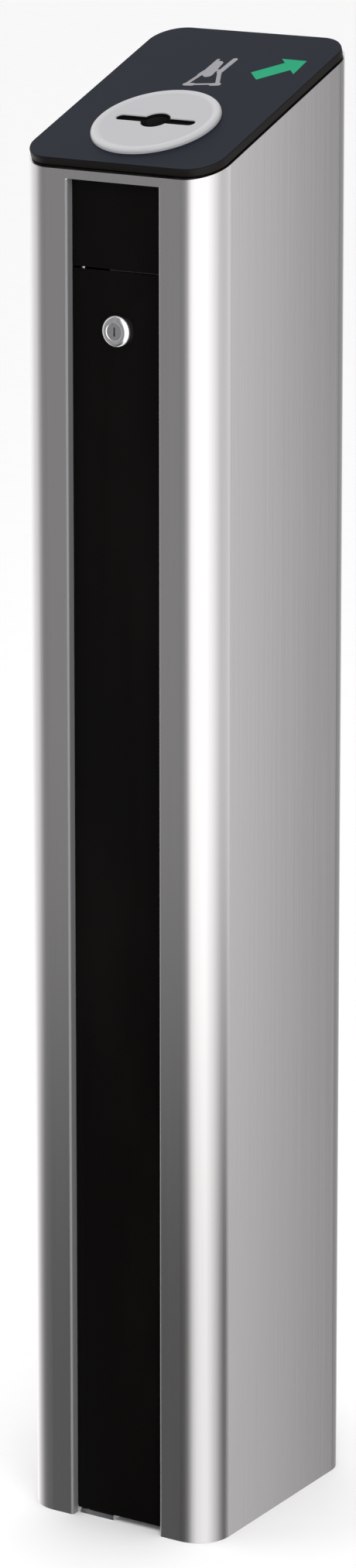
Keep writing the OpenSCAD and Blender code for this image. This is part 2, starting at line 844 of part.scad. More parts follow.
module m3_screws() {
    color("silver") {
        at_throat_screws() translate([0, 0, neck_n - throat_wall]) m3_screw(throat_wall + screw_bite);
        for (x = [-20, 20]) translate([x, bracket_y + bracket_t, panel_z + panel_h / 2])
            rotate([90, 0, 0]) m3_screw(bracket_t + 3);
    }
}

// ---- electronics ---------------------------------------------------------

standoff_x = col_w / 2 - corner_r - 7;
module mounting_plate() {
    color("lightgray") block(-mplate_w / 2, mplate_w / 2, mplate_y, mplate_y + mplate_t, mplate_z,
        mplate_z + mplate_h);
}

module plate_standoffs() {
    color("silver") for (x = [-standoff_x, standoff_x], z = [mplate_z + 20, mplate_z + mplate_h - 20])
        bar_y(mplate_y + mplate_t, rear_in, x, z, 5);
}

module power_supply() {
    y0 = mplate_y - psu_d;
    color("silver") union() {
        block(-psu_w / 2, psu_w / 2, y0, mplate_y, psu_z, psu_z + psu_h - 12);
        block(-psu_w / 2, psu_w / 2, mplate_y - 3, mplate_y, psu_z, psu_z + psu_h);
        block(-psu_w / 2 + 6, psu_w / 2 - 6, mplate_y - 16, mplate_y, psu_z, psu_z + psu_h - 2);
    }
}

rail_w = 35;
rail_h = 7.5;
module din_rail() {
    z = rail_z;
    color("silver") union() {
        block(-standoff_x, standoff_x, mplate_y - 1.5, mplate_y, z - rail_w / 2 + 5, z + rail_w / 2 - 5);
        for (side = [-1, 1])
            block(-standoff_x, standoff_x, mplate_y - rail_h, mplate_y, z + side * 11.5 - 1, z + side * 11.5 + 1);
        for (side = [-1, 1])
            block(-standoff_x, standoff_x, mplate_y - rail_h, mplate_y - rail_h + 1, z + side * 14.5 - 3,
                z + side * 14.5 + 3);
    }
}

terminal_t = 5.2;
terminals = 8;
module terminal_blocks() {
    color([0.5, 0.52, 0.5]) for (i = [0:terminals - 1]) difference() {
        block(i * (terminal_t + free), i * (terminal_t + free) + terminal_t, mplate_y - rail_h - 34,
            mplate_y - rail_h, rail_z - 20, rail_z + 20);
        bar_y(mplate_y - rail_h - 35, mplate_y - rail_h - 26, i * (terminal_t + free) + terminal_t / 2,
            rail_z, 1.6);
    }
}

module control_board() {
    color("darkgreen") difference() {
        block(-board_w / 2, board_w / 2, board_y, board_y + board_t, board_z, board_z + board_h);
        for (x = [-1, 1], z = [5, board_h - 5])
            bar_y(board_y - 1, board_y + board_t + 1, x * (board_w / 2 - 5), board_z + z, 1.6);
    }
}

module board_standoffs() {
    color("gold") for (x = [-1, 1], z = [5, board_h - 5])
        bar_y(board_y + board_t, mplate_y, x * (board_w / 2 - 5), board_z + z, 3);
}

module board_components() {
    y = board_y;
    color([0.12, 0.12, 0.13]) {
        for (i = [0:2]) block(-38 + i * 19, -22 + i * 19, y - 15, y, board_z + 110, board_z + 130);
        block(-46, -24, y - 10, y, board_z + 2, board_z + 14);
        block(24, 46, y - 10, y, board_z + board_h - 24, board_z + board_h - 12);
        block(-14, 14, y - 2, y, board_z + 50, board_z + 78);
        for (x = [26, 40]) bar_y(y - 20, y, x, board_z + 40, 5.5);
    }
}

// ---- mains entry ---------------------------------------------------------

bridge_z = base_t + 24;
bridge_t = 2;
gland_r = 9;
module gland_bracket() {
    half = entry_d / 2 + 6;
    color("gray") difference() {
        union() {
            block(-half, half, entry_y - 15, entry_y + 15, bridge_z, bridge_z + bridge_t);
            for (side = [-1, 1])
                block(side * half - bridge_t / 2, side * half + bridge_t / 2, entry_y - 15, entry_y + 15,
                    base_t, bridge_z + bridge_t);
        }
        translate([0, entry_y, bridge_z - 1]) cylinder(r = gland_r + fit, h = bridge_t + 2);
    }
}

supply_r = 3.5;
module cable_gland() {
    color([0.1, 0.1, 0.1]) translate([0, entry_y, bridge_z]) difference() {
        union() {
            translate([0, 0, -10]) cylinder(r = gland_r, h = 24);
            translate([0, 0, -6]) cylinder(r = 14, h = 6, $fn = 6);
            translate([0, 0, bridge_t]) cylinder(r = 14, h = 7, $fn = 6);
            translate([0, 0, 9]) cylinder(r1 = 11.5, r2 = 7.5, h = 12);
        }
        translate([0, 0, -11]) cylinder(r = supply_r + fit, h = 40);
    }
}

module earth_stud() {
    color("goldenrod") {
        translate([earth_x, earth_y, 0.5]) cylinder(r = earth_r, h = base_t + 20);
        translate([earth_x, earth_y, base_t]) difference() {
            cylinder(r = 6, h = 5, $fn = 6);
            translate([0, 0, -1]) cylinder(r = earth_r, h = 7);
        }
    }
}

// Routes of the fixed cables
supply_route = [[0, 40, 48], [0, 40, 62], [0, 42, 80], [6, 50, 120], [18, 56, 170], [28, 58, 220],
    [30, 58, 250], [30, 58, 276]];
low_voltage_route = [[-30, 66, 401], [-30, 65, 412], [-32, 60, 440], [-34, 58, 490], [-35, 58, 530],
    [-35, 60, 550], [-35, 60, 563]];
reader_route = [[35, 60, 697], [35, 58, 714], [34, 52, 750], [30, 44, 800], [22, 34, 845],
    [12, 22, 872], [4, 12, 884], [2, 8, 892], [2, 5, 900]];

module supply_cable() {
    color([0.1, 0.1, 0.1]) cable(supply_route, 2 * supply_r);
}

module low_voltage_cable() {
    color("firebrick") cable(low_voltage_route, 4);
}

module reader_cable() {
    color([0.3, 0.3, 0.3]) cable(reader_route, 4);
}

column_shell();
top_frame();
base_plate();
top_gasket();
top_plate();
face_foil();
plate_studs();
plate_nuts();
slot_bezel();
bezel_neck();
bezel_clamp_ring();
light_ring_board();
throat();
m3_screws();
antenna_boards();
reader_module();
card_sensor();
solenoid();
solenoid_plunger();
plunger_collar();
shutter_flap();
flap_shaft();
flap_crank();
flap_spring();
drop_duct();
duct_brackets();
bin_shelf();
card_bin();
bin_handle();
upper_panel();
panel_bracket();
lower_bracket();
pivot_pins();
door_buffers();
lock_keeper();
door_plate();
lock_housing();
lock_nut();
lock_barrel();
lock_cam();
cam_screw();
mounting_plate();
plate_standoffs();
power_supply();
din_rail();
terminal_blocks();
control_board();
board_standoffs();
board_components();
cable_gland();
gland_bracket();
earth_stud();
supply_cable();
low_voltage_cable();
reader_cable();
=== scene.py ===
"""Studio scene of a slim stainless card-collecting column, laid out as an add-on."""

import json
import math

import bmesh
import bpy
import numpy as np
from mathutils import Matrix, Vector


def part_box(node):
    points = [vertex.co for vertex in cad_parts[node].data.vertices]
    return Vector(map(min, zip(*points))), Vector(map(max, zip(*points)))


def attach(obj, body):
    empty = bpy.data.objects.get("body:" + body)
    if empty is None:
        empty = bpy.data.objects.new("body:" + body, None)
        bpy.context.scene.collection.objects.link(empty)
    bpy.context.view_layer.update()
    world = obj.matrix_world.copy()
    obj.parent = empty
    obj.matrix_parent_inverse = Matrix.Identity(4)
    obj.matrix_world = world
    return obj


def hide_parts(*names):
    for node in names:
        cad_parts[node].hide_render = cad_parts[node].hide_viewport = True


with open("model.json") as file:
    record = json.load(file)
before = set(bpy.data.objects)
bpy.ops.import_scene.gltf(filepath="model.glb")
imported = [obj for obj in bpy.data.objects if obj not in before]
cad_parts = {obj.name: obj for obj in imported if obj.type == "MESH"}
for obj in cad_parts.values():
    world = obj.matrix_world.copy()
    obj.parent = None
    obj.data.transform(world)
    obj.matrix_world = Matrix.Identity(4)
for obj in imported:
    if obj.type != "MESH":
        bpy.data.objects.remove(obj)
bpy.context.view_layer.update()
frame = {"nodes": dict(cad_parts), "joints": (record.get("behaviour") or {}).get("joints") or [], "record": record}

bl_info = {
    "name": "Card column",
    "version": (1, 0, 0),
    "blender": (4, 5, 0),
    "location": "3D View > Sidebar > Card column",
    "description": "Finishes and details a stainless card-collecting column",
    "category": "Object",
}

MM = 0.001
TAU = 2 * math.pi

PRINT_STEP = 0.04  # extra height of each printed shape, as a share of the ink
CHANNEL_HALF = 35 * MM  # half the clear width of the front channel
FRONT_Y = -92.5 * MM  # front face of the shell
LINTEL_Z = 921 * MM  # where the band over the channel begins
SOFT = 0.1 * MM  # half the width over which one finish turns into another

BEZEL_HEIGHT = 3.4 * MM
BEZEL_WALL = 0.9 * MM  # straight part of the bezel's side, below its shoulder
BEZEL_RIM = 38 * MM  # radius at which the bezel's face turns into its rim
SLOT_MARGIN = 2.2 * MM  # flat band kept round the slot
LINER_GAP = 0.05 * MM
LINER_WALL = 0.35 * MM
PANEL_EDGE = 0.4 * MM  # rounding of the door's and the panel's edges
MERGE_DISTANCE = 0.01 * MM
FLAT_ANGLE = 0.02  # radians, below which two faces are one flat face
SHARP_ANGLE = 0.8  # radians, above which an edge is rounded

LOCK_RIM_HEIGHT = 4.5 * MM
LOCK_NECK = 8 * MM
LOCK_DOME = 4.2 * MM  # width of the domed part of the lock's rim
LOCK_FLAT = 0.8 * MM  # straight part of the rim's side
LOCK_LIP = 0.7 * MM
LOCK_SEGMENTS = 64


# ---- places taken from the frame ----------------------------------------


def joint(name):
    """The frame's joint of that name."""
    return next(j for j in frame["joints"] if j["name"] == name)


class SlopePlane:
    """The face of the sloping top. A point is (x, s, n): across, up the slope, away from it."""

    def __init__(self):
        down = joint("plunger_push")["axis"]
        self.sin, self.cos = down[1], -down[2]
        low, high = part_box("face_foil")
        run, rise = high.y - low.y, high.z - low.z
        # A slab of length L and thickness t spans L cos + t sin by L sin + t cos.
        wide = self.cos**2 - self.sin**2
        length = (run * self.cos - rise * self.sin) / wide
        self.y0 = low.y
        self.z0 = high.z - length * self.sin
        ring_low, ring_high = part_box("bezel_clamp_ring")
        mid = (ring_low + ring_high) / 2
        self.bezel_s = (mid.y - self.y0) * self.cos + (mid.z - self.z0) * self.sin

    def place(self, points):
        """World points of an (..., 3) array of slope points."""
        x, s, n = points[..., 0], points[..., 1], points[..., 2]
        y = self.y0 + s * self.cos - n * self.sin
        z = self.z0 + s * self.sin + n * self.cos
        return np.stack([x, y, z], axis=-1)


slope = SlopePlane()


# ---- surfaces as arrays --------------------------------------------------


def make_object(name, points, faces, material, body, smooth=True):
    """A mesh piece from an (n, 3) array and face index lists, riding on a body."""
    mesh = bpy.data.meshes.new(name)
    mesh.from_pydata(points.reshape(-1, 3).tolist(), [], [list(f) for f in faces])
    mesh.validate()
    return dress(mesh, name, material, body, smooth)


def dress(mesh, name, material, body, smooth=True):
    """Gives a finished mesh its material and makes it a piece that rides on a body."""
    mesh.update()
    if smooth:
        mesh.shade_smooth()
    else:
        mesh.shade_flat()
    mesh.materials.append(material)
    piece = bpy.data.objects.new(name, mesh)
    bpy.context.scene.collection.objects.link(piece)
    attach(piece, body)
    return piece


def grid_faces(rows, cols, wrap_rows=False, wrap_cols=True):
    """Quads of a rows x cols grid, closed along either direction where asked."""
    i, j = np.meshgrid(
        np.arange(rows if wrap_rows else rows - 1),
        np.arange(cols if wrap_cols else cols - 1),
        indexing="ij",
    )
    i2, j2 = (i + 1) % rows, (j + 1) % cols
    quads = np.stack([i * cols + j, i * cols + j2, i2 * cols + j2, i2 * cols + j], axis=-1)
    return quads.reshape(-1, 4)


def rounded_outline(width, depth, radius, per_corner=16):
    """Arc centres and outward normals round a rectangle with round corners, anticlockwise."""
    quarter = np.arange(per_corner + 1) / per_corner * (math.pi / 2)
    centres, normals = [], []
    for k, (sx, sy) in enumerate([(1, 1), (-1, 1), (-1, -1), (1, -1)]):
        angle = quarter + k * math.pi / 2
        arc = np.stack([np.cos(angle), np.sin(angle)], axis=-1)
        middle = np.array([sx * (width / 2 - radius), sy * (depth / 2 - radius)])
        centres.append(np.repeat(middle[None], per_corner + 1, axis=0))
        normals.append(arc)
    return np.concatenate(centres), np.concatenate(normals)


def round_edge(radius, steps=5):
    """A quarter circle as (inset, drop) pairs, from the side of an edge up to its face."""
    a = np.linspace(0, math.pi / 2, steps)
    return [(radius * (1 - math.cos(t)), radius * (1 - math.sin(t))) for t in a]


def slab_points(width, depth, corner, low, high, edge, centre=(0, 0)):
    """Rings of a slab with round corners and rounded edges, from its lower to its upper face.

    Each ring is the outline drawn in by an inset, at its own height."""
    centres, normals = rounded_outline(width, depth, corner)
    rise = [(i, high - d) for i, d in round_edge(edge)]
    fall = [(i, low + d) for i, d in reversed(round_edge(edge))]
    rings = []
    for inset, height in fall + rise:
        flat = centres + (corner - inset) * normals + np.array(centre)
        rings.append(np.column_stack([flat, np.full(len(flat), height)]))
    return np.stack(rings)


def print_piece(name, outlines, height, material):
    """Flat printed shapes on the foil: each outline becomes a thin closed prism.

    Every next prism is a little higher than the one before, so their tops never coincide."""
    points, faces = [], []
    for order, outline in enumerate(outlines):
        k, start = len(outline), sum(len(p) for p in points)
        for level in (0.0, height * (1 + PRINT_STEP * order)):
            points.append(np.column_stack([outline, np.full(k, level)]))
        faces.append([start + i for i in range(k)][::-1])
        faces.append([start + k + i for i in range(k)])
        sides = [[i, (i + 1) % k, k + (i + 1) % k, k + i] for i in range(k)]
        faces.extend([[start + i for i in side] for side in sides])
    return make_object(
        name, slope.place(np.vstack(points)), faces, material, "root", smooth=False
    )


def stroke(a, b, width, steps=8):
    """Outline of a line with round ends, from a to b, anticlockwise."""
    a, b = np.array(a, float), np.array(b, float)
    heading = math.atan2(*(b - a)[::-1])
    turn = np.linspace(-math.pi / 2, math.pi / 2, steps)
    end = np.stack([np.cos(heading + turn), np.sin(heading + turn)], axis=-1)
    start = np.stack([np.cos(heading + math.pi + turn), np.sin(heading + math.pi + turn)], axis=-1)
    return np.vstack([b + end * width / 2, a + start * width / 2])


def turned_outline(points, centre, angle):
    """Points turned about the origin and moved to a centre."""
    c, s = math.cos(angle), math.sin(angle)
    return np.array(points) @ np.array([[c, s], [-s, c]]) + np.array(centre)


# ---- shader expressions --------------------------------------------------


class Wire:
    """A node's output whose arithmetic adds Math nodes."""

    def __init__(self, tree, socket):
        self.tree = tree
        self.socket = socket

    def math(self, operation, *values):
        """A Math node of that operation on these values."""
        return self.tree.node("ShaderNodeMath", {"operation": operation}, values)

    def __add__(self, other):
        return self.math("ADD", self, other)

    __radd__ = __add__

    def __sub__(self, other):
        return self.math("SUBTRACT", self, other)

    def __rsub__(self, other):
        return self.math("SUBTRACT", other, self)

    def __mul__(self, other):
        return self.math("MULTIPLY", self, other)

    __rmul__ = __mul__

    def power(self, exponent):
        """This value to a power."""
        return self.math("POWER", self, exponent)

    def above(self, low, high):
        """0 below low, 1 above high, and a smooth step between."""
        span = {"clamp": True, "interpolation_type": "SMOOTHSTEP"}
        return self.tree.node("ShaderNodeMapRange", span, [self, low, high, 0.0, 1.0])


class Finish:
    """A material under construction: one Principled shader and the nodes that feed it."""

    def __init__(self, name, **constants):
        self.material = bpy.data.materials.new(name)
        self.material.use_nodes = True
        self.nodes = self.material.node_tree.nodes
        self.links = self.material.node_tree.links
        self.shader = self.nodes["Principled BSDF"]
        self.coords = self.node("ShaderNodeTexCoord", {}, [], "Object")
        for socket, value in constants.items():
            self.feed(socket.replace("_", " "), value)

    def put(self, socket, value):
        """Links a wire to a socket, or sets a plain value on it."""
        if isinstance(value, Wire):
            self.links.new(value.socket, socket)
        else:
            socket.default_value = value

    def feed(self, name, value):
        """Gives one socket of the Principled shader its wire or value."""
        if isinstance(value, tuple) and len(value) == 3:
            value = (*value, 1.0)
        self.put(self.shader.inputs[name], value)

    def node(self, kind, settings, values, output=0):
        """Adds a node, applies its settings, feeds its sockets by order or name."""
        made = self.nodes.new(kind)
        stops = settings.get("stops")
        for key, value in settings.items():
            if key != "stops":
                setattr(made, key, value)
        if stops:
            ramp = made.color_ramp
            while len(ramp.elements) < len(stops):
                ramp.elements.new(0.5)
            for element, (place, colour) in zip(ramp.elements, stops):
                element.position = place
                element.color = (*colour, 1.0)
        pairs = values.items() if isinstance(values, dict) else enumerate(values)
        for key, value in pairs:
            self.put(made.inputs[key], value)
        return Wire(self, made.outputs[output])

    def axes(self):
        """Object X, Y and Z, in metres, as three wires."""
        outputs = self.node("ShaderNodeSeparateXYZ", {}, [self.coords]).socket.node.outputs
        return [Wire(self, output) for output in outputs]

    def scaled(self, scale, turn=(0, 0, 0)):
        """Object coordinates, turned and stretched."""
        sockets = {"Vector": self.coords, "Scale": scale, "Rotation": turn}
        return self.node("ShaderNodeMapping", {}, sockets)

    def noise(self, scale, detail=2.0, stretch=(1, 1, 1), turn=(0, 0, 0)):
        """Cloudy noise from 0 to 1, with so many features a metre."""
        sockets = {"Vector": self.scaled(stretch, turn), "Scale": scale, "Detail": detail}
        return self.node("ShaderNodeTexNoise", {}, sockets)

    def mix(self, factor, first, second):
        """A colour between two colours."""
        made = self.nodes.new("ShaderNodeMix")
        made.data_type = "RGBA"
        for index, value in ((0, factor), (6, first), (7, second)):
            if isinstance(value, tuple) and len(value) == 3:
                value = (*value, 1.0)
            self.put(made.inputs[index], value)
        return Wire(self, made.outputs[2])

    def bump(self, height, strength, distance):
        """Feeds the shader's normal from a height, in metres at full strength."""
        sockets = {"Height": height, "Strength": strength, "Distance": distance}
        self.feed("Normal", self.node("ShaderNodeBump", {}, sockets))


def shade(colour, factor):
    """A colour made lighter or darker."""
    return tuple(min(1.0, c * factor) for c in colour)


def brushed(name, tint, rough, grain=(1, 1, 0.006), fine=1500.0, contrast=0.05):
    """Metal with a grain drawn out along one axis and faint clouding. Returns its Finish."""
    f = Finish(name, Metallic=1.0)
    lines = f.noise(fine, 2.0, grain)
    broad = f.noise(fine * 0.22, 1.0, grain)
    cloud = f.noise(5.0, 3.0)
    streak = lines * 0.65 + broad * 0.35
    f.feed("Base Color", f.mix(streak, shade(tint, 1 - contrast), shade(tint, 1 + contrast)))
    f.feed("Roughness", streak * 0.12 + cloud * 0.05 + (rough - 0.085))
    f.bump(streak, 0.12, 0.0002)
    return f


def satin_with_painted_rim(name, face, rim):
    """Satin moulding with a polished rim round its face; the rim's lighter colour is a painted highlight.

    The rim is where the distance from the bezel's axis, in the plane of the slope, is large."""
    f = Finish(name)
    x, y, z = f.axes()
    up = (y - slope.y0) * slope.cos + (z - slope.z0) * slope.sin - slope.bezel_s
    out = (x * x + up * up).power(0.5)
    # painted highlight mask, on the rim
    rise = out.above(BEZEL_RIM - 1.2 * MM, BEZEL_RIM + 1.2 * MM)
    grain = f.noise(1100.0, 3.0)
    cloud = f.noise(26.0, 3.0)
    tone = grain * 0.4 + cloud * 0.6
    body = f.mix(tone, shade(face, 0.96), shade(face, 1.04))
    # the rim colour, lighter than the face, is a painted highlight
    f.feed("Base Color", f.mix(rise, body, rim))
    f.feed("Roughness", grain * 0.10 + cloud * 0.08 + 0.31 - rise * 0.08)
    f.bump(grain, 0.2, 0.00005)
    return f.material


def shell_steel(name, tint, rough):
    """Brushed stainless whose folded returns beside the door, bends included, are painted light: a flat, hardly
    metallic grey stands in for how they catch the light.
    """
    f = brushed(name, tint, rough)
    x, y, z = f.axes()
    beside = x.math("ABSOLUTE", x) - CHANNEL_HALF
    wall = beside.above(-6 * SOFT, -4 * SOFT) * (1 - beside.above(12 * SOFT, 16 * SOFT))
    deep = y - FRONT_Y
    depth = deep.above(-2 * SOFT, 0.0) * (1 - deep.above(63 * SOFT, 67 * SOFT))
    # painted light mask: the returns and their bends below the lintel
    painted_return_tone = wall * depth * (1 - z.above(LINTEL_Z - 5 * SOFT, LINTEL_Z + 5 * SOFT))
    grain = Wire(f, f.shader.inputs["Base Color"].links[0].from_socket)
    # the returns' flat grey (0.22) is painted light
    f.feed("Base Color", f.mix(painted_return_tone, grain, (0.22, 0.22, 0.225)))
    f.feed("Metallic", 1 - painted_return_tone * 0.85)
    return f.material


def plastic(name, colour, rough, texture=900.0, depth=0.00006, speckle=0.08, shine=0.5):
    """Moulded plastic: a fine eroded texture with soft shine differences."""
    f = Finish(name, **{"Specular IOR Level": shine})
    grain = f.noise(texture, 3.0)
    cloud = f.noise(9.0, 2.0)
    tone = grain * 0.6 + cloud * 0.4
    f.feed("Base Color", f.mix(tone, shade(colour, 1 - speckle), shade(colour, 1 + speckle)))
    f.feed("Roughness", grain * 0.10 + cloud * 0.08 + (rough - 0.09))
    f.bump(grain, 0.25, depth)
    return f.material


def lacquer(name, colour):
    """Deep black gloss: hardly any texture, an orange-peel ripple and faint wipe marks."""
    f = Finish(name, **{"Specular IOR Level": 0.08})
    peel = f.noise(220.0, 2.0)
    wipe = f.noise(14.0, 4.0, (1, 1, 0.35))
    marks = wipe.above(0.45, 0.75)
    f.feed("Base Color", f.mix(marks, colour, shade(colour, 1.5)))
    f.feed("Roughness", marks * 0.09 + peel * 0.03 + 0.07)
    f.bump(peel, 0.05, 0.0003)
    return f.material


def foil(name, colour):
    """Slate foil: a matt film with a very fine mineral speckle."""
    f = Finish(name, **{"Specular IOR Level": 0.07})
    grit = f.noise(2600.0, 1.0)
    cloud = f.noise(11.0, 3.0)
    tone = grit * 0.55 + cloud * 0.45
    f.feed("Base Color", f.mix(tone, shade(colour, 0.86), shade(colour, 1.14)))
    f.feed("Roughness", grit * 0.10 + cloud * 0.06 + 0.42)
    f.bump(grit, 0.30, 0.00004)
    return f.material


def chromed(name, tint):
    """Polished plating with hairline scratches."""
    f = Finish(name, Metallic=1.0)
    scratch = f.noise(700.0, 2.0, (1, 1, 0.05), (0.3, 0.9, 0.2)).above(0.58, 0.72)
    cloud = f.noise(60.0, 2.0)
    f.feed("Base Color", f.mix(scratch, tint, shade(tint, 0.85)))
    f.feed("Roughness", scratch * 0.12 + cloud * 0.05 + 0.09)
    f.bump(scratch, 0.05, 0.00005)
    return f.material


def spangled(name, tint, rough):
    """Zinc coat: angular crystals that differ a little in tone and shine."""
    f = Finish(name, Metallic=1.0)
    crystal = f.node("ShaderNodeTexVoronoi", {}, {"Vector": f.coords, "Scale": 160.0}, "Color")
    tone = f.node("ShaderNodeSeparateColor", {}, [crystal])
    fine = f.noise(1200.0, 2.0)
    f.feed("Base Color", f.mix(tone, shade(tint, 0.85), shade(tint, 1.1)))
    f.feed("Roughness", tone * 0.14 + fine * 0.06 + (rough - 0.1))
    f.bump(fine, 0.08, 0.0001)
    return f.material


def circuit(name, resist):
    """Circuit board: solder resist with paler copper tracks beneath it."""
    f = Finish(name)
    cells = {"feature": "DISTANCE_TO_EDGE"}
    edge = f.node("ShaderNodeTexVoronoi", cells, {"Vector": f.coords, "Scale": 190.0}, "Distance")
    track = 1 - edge.above(0.04, 0.09)
    fine = f.noise(500.0, 2.0)
    f.feed("Base Color", f.mix(track, resist, shade(resist, 1.9)))
    f.feed("Roughness", fine * 0.1 + track * 0.06 + 0.26)
    f.bump(track, 0.2, 0.00006)
    return f.material


def wound(name, copper):
    """Coil: turns of lacquered wire side by side, with painted shade in the grooves between them."""
    f = Finish(name, Metallic=0.8)
    turns = f.node(
        "ShaderNodeTexWave",
        {"bands_direction": "Z"},
        {"Vector": f.coords, "Scale": 260.0, "Distortion": 0.3},
        "Fac",
    )
    # the darker half of each band is painted shade between the turns
    f.feed("Base Color", f.mix(turns, shade(copper, 0.55), copper))
    f.feed("Roughness", 0.45 - turns * 0.15)
    f.bump(turns, 0.5, 0.0003)
    return f.material


def ink(name, colour):
    """Screen-printed ink: flat colour with the mesh of the screen just showing."""
    f = Finish(name, **{"Specular IOR Level": 0.06})
    mesh = f.noise(3000.0, 1.0)
    cloud = f.noise(90.0, 2.0)
    tone = mesh * 0.5 + cloud * 0.5
    f.feed("Base Color", f.mix(tone, shade(colour, 0.9), shade(colour, 1.1)))
    f.feed("Roughness", mesh * 0.1 + 0.4)
    f.bump(mesh, 0.2, 0.00003)
    return f.material


# ---- user values ---------------------------------------------------------


def length(name, description, value):
    """A length property, in metres."""
    return bpy.props.FloatProperty(
        name=name, description=description, default=value, unit="LENGTH", precision=4
    )


def colour(name, description, value):
    """A colour property, linear."""
    return bpy.props.FloatVectorProperty(
        name=name, description=description, default=value, subtype="COLOR", min=0, max=1
    )


def angle(name, description, degrees):
    """An angle property, given in degrees."""
    return bpy.props.FloatProperty(
        name=name, description=description, default=math.radians(degrees), subtype="ANGLE"
    )


def number(name, description, value):
    """A plain number property."""
    return bpy.props.FloatProperty(name=name, description=description, default=value)


class ColumnFinishes(bpy.types.PropertyGroup):
    stainless: colour("Stainless", "Tint of the brushed shell", (0.625, 0.61, 0.61))
    stainless_rough: number("Stainless roughness", "Roughness of the brushed shell", 0.235)
    slate: colour("Slate", "Face foil of the top plate", (0.0062, 0.0085, 0.0175))
    edge: colour("Plate edge", "Solid black of the top plate", (0.006, 0.005, 0.004))
    bezel: colour("Bezel", "Satin moulding round the slot", (0.37, 0.37, 0.388))
    # painted highlight: the rim is painted lighter than the face
    rim: colour("Bezel rim", "Lighter rim of the bezel", (0.43, 0.43, 0.445))
    lacquer: colour("Lacquer", "Gloss black of the door", (0.0025, 0.0022, 0.002))
    arrow: colour("Arrow", "Green ink of the arrow", (0.006, 0.285, 0.14))
    symbol: colour("Symbol", "Grey ink of the symbol", (0.27, 0.265, 0.285))
    zinc: colour("Zinc", "Zinc-plated sheet inside", (0.52, 0.53, 0.54))


class ColumnTop(bpy.types.PropertyGroup):
    corner: length("Corner", "Corner radius of the top plate", 22 * MM)
    edge: length("Edge", "Rounding of the plate's edges", 0.6 * MM)
    shoulder: length("Shoulder", "Width of the bezel's rounded shoulder", 2.6 * MM)
    dish: length("Dish", "How far the bezel's face lies below its rim", 0.5 * MM)
    slot_length: length("Slot length", "Length of the card slot", 60 * MM)
    slot_width: length("Slot width", "Width of the card slot", 7.2 * MM)
    eye: length("Eye", "Diameter of the round widening", 20 * MM)
    lip: length("Lip", "Rounding of the slot's edge", 0.8 * MM)
    ink: length("Ink", "Thickness of the printed ink", 0.06 * MM)
    arrow_x: length("Arrow across", "Arrow centre, across the plate", 44.6 * MM)
    arrow_s: length("Arrow up", "Arrow centre, up the slope from the foil's edge", 143.6 * MM)
    arrow_length: length("Arrow length", "Length of the arrow", 37 * MM)
    arrow_head: length("Arrow head", "Width of the arrow head", 28 * MM)
    arrow_shaft: length("Arrow shaft", "Width of the arrow shaft", 13 * MM)
    arrow_turn: angle("Arrow direction", "From the right, turning towards the back", 45)
    symbol_x: length("Symbol across", "Shift of the symbol across the plate", 1.0 * MM)
    symbol_s: length("Symbol up", "Shift of the symbol up the slope", -5.0 * MM)


class ColumnStudio(bpy.types.PropertyGroup):
    azimuth: angle("Azimuth", "Camera direction round the column", 32.04)
    elevation: angle("Elevation", "Camera direction above the horizon", 12.0)
    distance: length("Distance", "Camera to the aiming point", 3.537)
    aim: length("Aim", "Height of the aiming point", 0.6975)
    lens: number("Lens", "Focal length in millimetres", 121.75)
    shift_x: number("Shift across", "Camera shift across", -0.0065)
    shift_y: number("Shift up", "Camera shift up", -0.1825)
    floor: colour("Floor", "Pale studio floor", (0.93, 0.93, 0.93))


# ---- materials of the record's slots -------------------------------------


def slot_materials(values):
    """One finished material for every material slot of the record."""
    black = (0.012, 0.012, 0.0125)
    zinc = tuple(values.zinc)
    return {
        "brushed_stainless": shell_steel(
            "brushed_stainless", tuple(values.stainless), values.stainless_rough
        ),
        "black_edge": plastic("black_edge", tuple(values.edge), 0.42, 1400.0, shine=0.15),
        "slate_foil": foil("slate_foil", tuple(values.slate)),
        "bezel_satin": satin_with_painted_rim("bezel_satin", tuple(values.bezel), tuple(values.rim)),
        "gloss_black": lacquer("gloss_black", tuple(values.lacquer)),
        "chrome": chromed("chrome", (0.86, 0.86, 0.88)),
        "zinc_steel": spangled("zinc_steel", zinc, 0.38),
        "steel_pin": brushed("steel_pin", (0.6, 0.6, 0.61), 0.24, (1, 1, 1), 700.0, 0.06).material,
        "rubber_black": plastic("rubber_black", (0.012, 0.012, 0.012), 0.75, 1600.0),
        "black_plastic": plastic("black_plastic", black, 0.5),
        "grey_plastic": plastic("grey_plastic", (0.30, 0.31, 0.30), 0.48),
        "circuit_board": circuit("circuit_board", (0.012, 0.11, 0.04)),
        "copper_coil": wound("copper_coil", (0.66, 0.30, 0.11)),
        "brass": brushed("brass", (0.75, 0.55, 0.22), 0.3, (1, 1, 1), 600.0, 0.05).material,
        "galvanised": spangled("galvanised", shade(zinc, 0.8), 0.5),
        "red_sheath": plastic("red_sheath", (0.35, 0.02, 0.02), 0.5, 700.0),
        "grey_sheath": plastic("grey_sheath", (0.2, 0.2, 0.2), 0.5, 700.0),
    }


materials = {}


class COLUMN_OT_finishes(bpy.types.Operator):
    """Makes the materials and gives every frame node the one of its slot"""

    bl_idname = "column.finishes"
    bl_label = "Finishes"

    def execute(self, context):
        materials.update(slot_materials(context.scene.column_finishes))
        values = context.scene.column_finishes
        materials["arrow_ink"] = ink("arrow_ink", tuple(values.arrow))
        materials["symbol_ink"] = ink("symbol_ink", tuple(values.symbol))
        for part in frame["record"]["subparts"]:
            data = frame["nodes"][part["node"]].data
            data.materials.clear()
            data.materials.append(materials[part["material_slot"]])
        return {"FINISHED"}


# ---- pieces --------------------------------------------------------------


